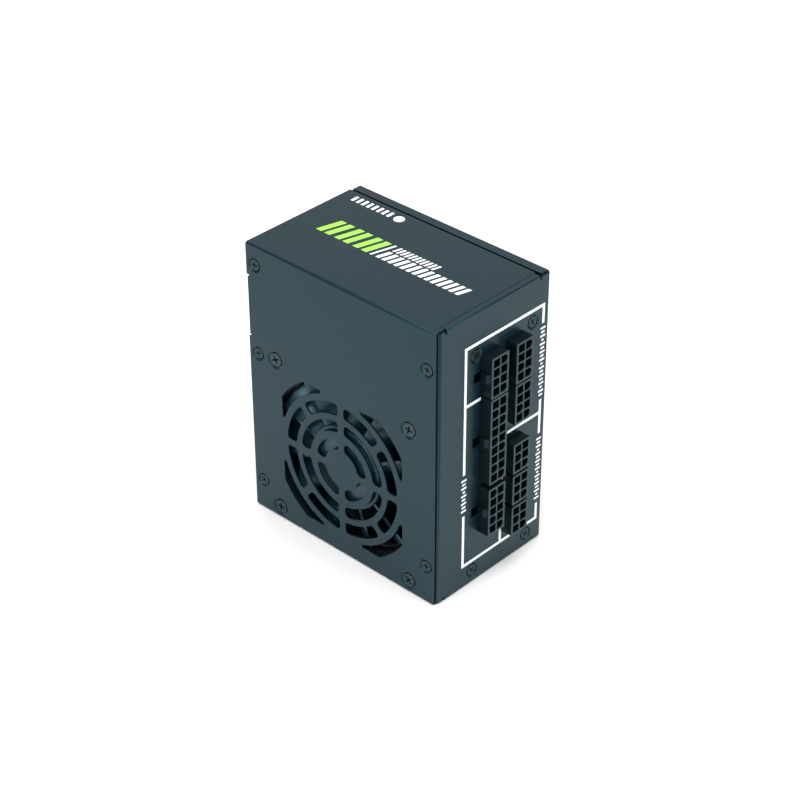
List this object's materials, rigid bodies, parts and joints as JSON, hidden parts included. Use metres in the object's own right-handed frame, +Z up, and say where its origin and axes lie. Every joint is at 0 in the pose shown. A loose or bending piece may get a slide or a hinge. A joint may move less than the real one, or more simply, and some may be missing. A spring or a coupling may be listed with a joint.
{
  "type": "power supply unit",
  "caption": "Compact boxed computer power supply with grille fan, modular cable sockets, mains inlet and rocker switch, standing on its narrow side.",
  "frame": {"origin": "centre of the casing's lower narrow side, the face it stands on", "axes": "+Z up along the long side, -Y out of the fan face, +X out of the cable-socket wall, -X out of the mains-inlet wall"},
  "size_m": [0.1081, 0.0636, 0.125],
  "materials": {
    "casing_steel": "fine matt black powder coat",
    "screw_steel": "black zinc",
    "fan_screw_steel": "dark nickel",
    "plated_steel": "zinc plated",
    "brass": "plain",
    "tinned_brass": "tin plated",
    "connector_nylon": "moulded nylon",
    "inlet_plastic": "moulded",
    "fan_plastic": "glossy moulded",
    "impeller_plastic": "glossy moulded",
    "magnet": "bonded ferrite",
    "copper": "enamelled copper wire",
    "lamination": "stacked sheet",
    "bronze": "sintered",
    "circuit_board": "solder mask",
    "board_black": "solder mask",
    "wire_insulation": "flexible sleeve",
    "insulation_film": "translucent film",
    "aluminium": "anodised",
    "ferrite": "sintered",
    "core_coating": "epoxy coat",
    "capacitor_sleeve": "shrink sleeve",
    "component_epoxy": "dipped epoxy",
    "component_black": "moulded epoxy",
    "film_box": "moulded box",
    "tape_yellow": "tape",
    "fuse_ceramic": "glazed"
  },
  "bodies": {
    "root": {"board_screws": "plated_steel", "board_standoffs": "brass", "boost_choke_core": "core_coating", "boost_choke_winding": "copper", "bridge_rectifier": "component_black", "bulk_capacitor": "capacitor_sleeve", "choke_cores": "core_coating", "choke_windings": "copper", "cover": "casing_steel", "cover_screws": "screw_steel", "fan_bearing": "bronze", "fan_circuit_board": "circuit_board", "fan_coils": "copper", "fan_frame": "fan_plastic", "fan_header": "insulation_film", "fan_lead": "wire_insulation", "fan_plug": "insulation_film", "fan_screws": "fan_screw_steel", "fan_stator": "lamination", "film_capacitors": "film_box", "heatsinks": "aluminium", "inlet_blades": "tinned_brass", "inlet_body": "inlet_plastic", "inlet_screws": "screw_steel", "insulation_sheet": "insulation_film", "main_board": "circuit_board", "mains_fuse": "fuse_ceramic", "mains_wires": "wire_insulation", "output_capacitors": "capacitor_sleeve", "output_choke_core": "core_coating", "output_choke_winding": "copper", "primary_transistors": "component_black", "socket_board": "board_black", "socket_board_screws": "screw_steel", "socket_board_spacers": "brass", "socket_left_10": "connector_nylon", "socket_left_18": "connector_nylon", "socket_left_8": "connector_nylon", "socket_pins": "tinned_brass", "socket_right_6_lower": "connector_nylon", "socket_right_6_middle": "connector_nylon", "socket_right_6_upper": "connector_nylon", "socket_right_8_lower": "connector_nylon", "socket_right_8_upper": "connector_nylon", "standby_transformer": "tape_yellow", "suppression_capacitors": "component_epoxy", "surge_discs": "component_epoxy", "switch_body": "inlet_plastic", "switch_terminals": "tinned_brass", "transformer_base": "component_black", "transformer_core": "ferrite", "transformer_winding": "tape_yellow", "tray": "casing_steel", "upright_boards": "circuit_board"},
    "fan_rotor": {"fan_impeller": "impeller_plastic", "fan_yoke_ring": "plated_steel", "fan_magnet": "magnet", "fan_shaft": "plated_steel", "fan_shaft_clip": "plated_steel"},
    "power_rocker": {"switch_rocker": "inlet_plastic"}
  },
  "joints": [
    {"name": "fan_spin", "type": "hinge", "parent": "root", "child": "fan_rotor", "pos_m": [0, -0.0235, 0.0413], "axis": [0, 1, 0], "continuous": true},
    {"name": "rocker_tilt", "type": "hinge", "parent": "root", "child": "power_rocker", "pos_m": [-0.0486, 0, 0.079], "axis": [0, 0, 1], "range_deg": [0, 22]}
  ]
}
